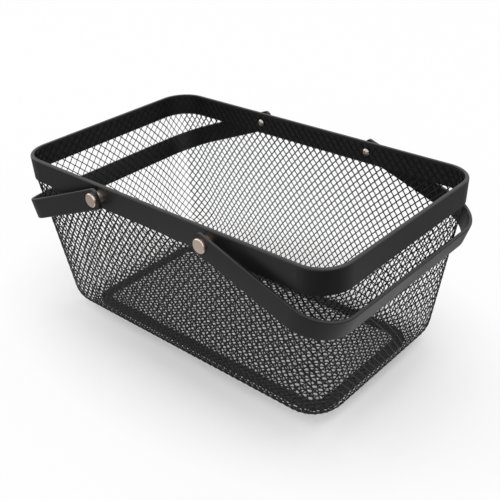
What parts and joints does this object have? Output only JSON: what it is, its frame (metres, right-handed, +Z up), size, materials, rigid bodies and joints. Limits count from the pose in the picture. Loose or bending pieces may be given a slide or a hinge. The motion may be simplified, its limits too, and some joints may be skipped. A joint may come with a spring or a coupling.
{
  "type": "wire locker basket",
  "caption": "Rectangular basket of drawn expanded-steel mesh with a folded rim band, a flat foot ring and two strap handles that swing up over the top",
  "frame": {"origin": "The middle of the basket's footprint, on the surface that the foot ring stands on.", "axes": "+X runs along the basket's long side, +Y across it, +Z up. The two handles pivot on the long sides."},
  "size_m": [0.4097, 0.2618, 0.184],
  "materials": {
    "satin_black_coat": "satin",
    "champagne_nickel": "satin",
    "screw_nickel": "satin"
  },
  "bodies": {
    "root": {"rim_band": "satin_black_coat", "base_ring": "satin_black_coat", "mesh_floor": "satin_black_coat", "mesh_wall_front": "satin_black_coat", "mesh_wall_right": "satin_black_coat", "mesh_wall_back": "satin_black_coat", "mesh_wall_left": "satin_black_coat", "mesh_bend_front": "satin_black_coat", "mesh_bend_right": "satin_black_coat", "mesh_bend_back": "satin_black_coat", "mesh_bend_left": "satin_black_coat", "mesh_corner_front_right": "satin_black_coat", "mesh_corner_back_right": "satin_black_coat", "mesh_corner_back_left": "satin_black_coat", "mesh_corner_front_left": "satin_black_coat", "pivot_post_front_left": "champagne_nickel", "pivot_post_front_right": "champagne_nickel", "pivot_post_back_left": "champagne_nickel", "pivot_post_back_right": "champagne_nickel", "spacer_front_left": "champagne_nickel", "spacer_front_right": "champagne_nickel", "spacer_back_left": "champagne_nickel", "spacer_back_right": "champagne_nickel", "pivot_screw_front_left": "screw_nickel", "pivot_screw_front_right": "screw_nickel", "pivot_screw_back_left": "screw_nickel", "pivot_screw_back_right": "screw_nickel"},
    "left_handle": {"handle_left": "satin_black_coat"},
    "right_handle": {"handle_right": "satin_black_coat"}
  },
  "joints": [
    {"name": "left_handle_swing", "type": "hinge", "parent": "root", "child": "left_handle", "pos_m": [-0.0715, 0, 0.17175], "axis": [0, 1, 0], "range_deg": [0, 138.5]},
    {"name": "right_handle_swing", "type": "hinge", "parent": "root", "child": "right_handle", "pos_m": [0.0715, 0, 0.17175], "axis": [0, -1, 0], "range_deg": [-3, 135.5]}
  ]
}
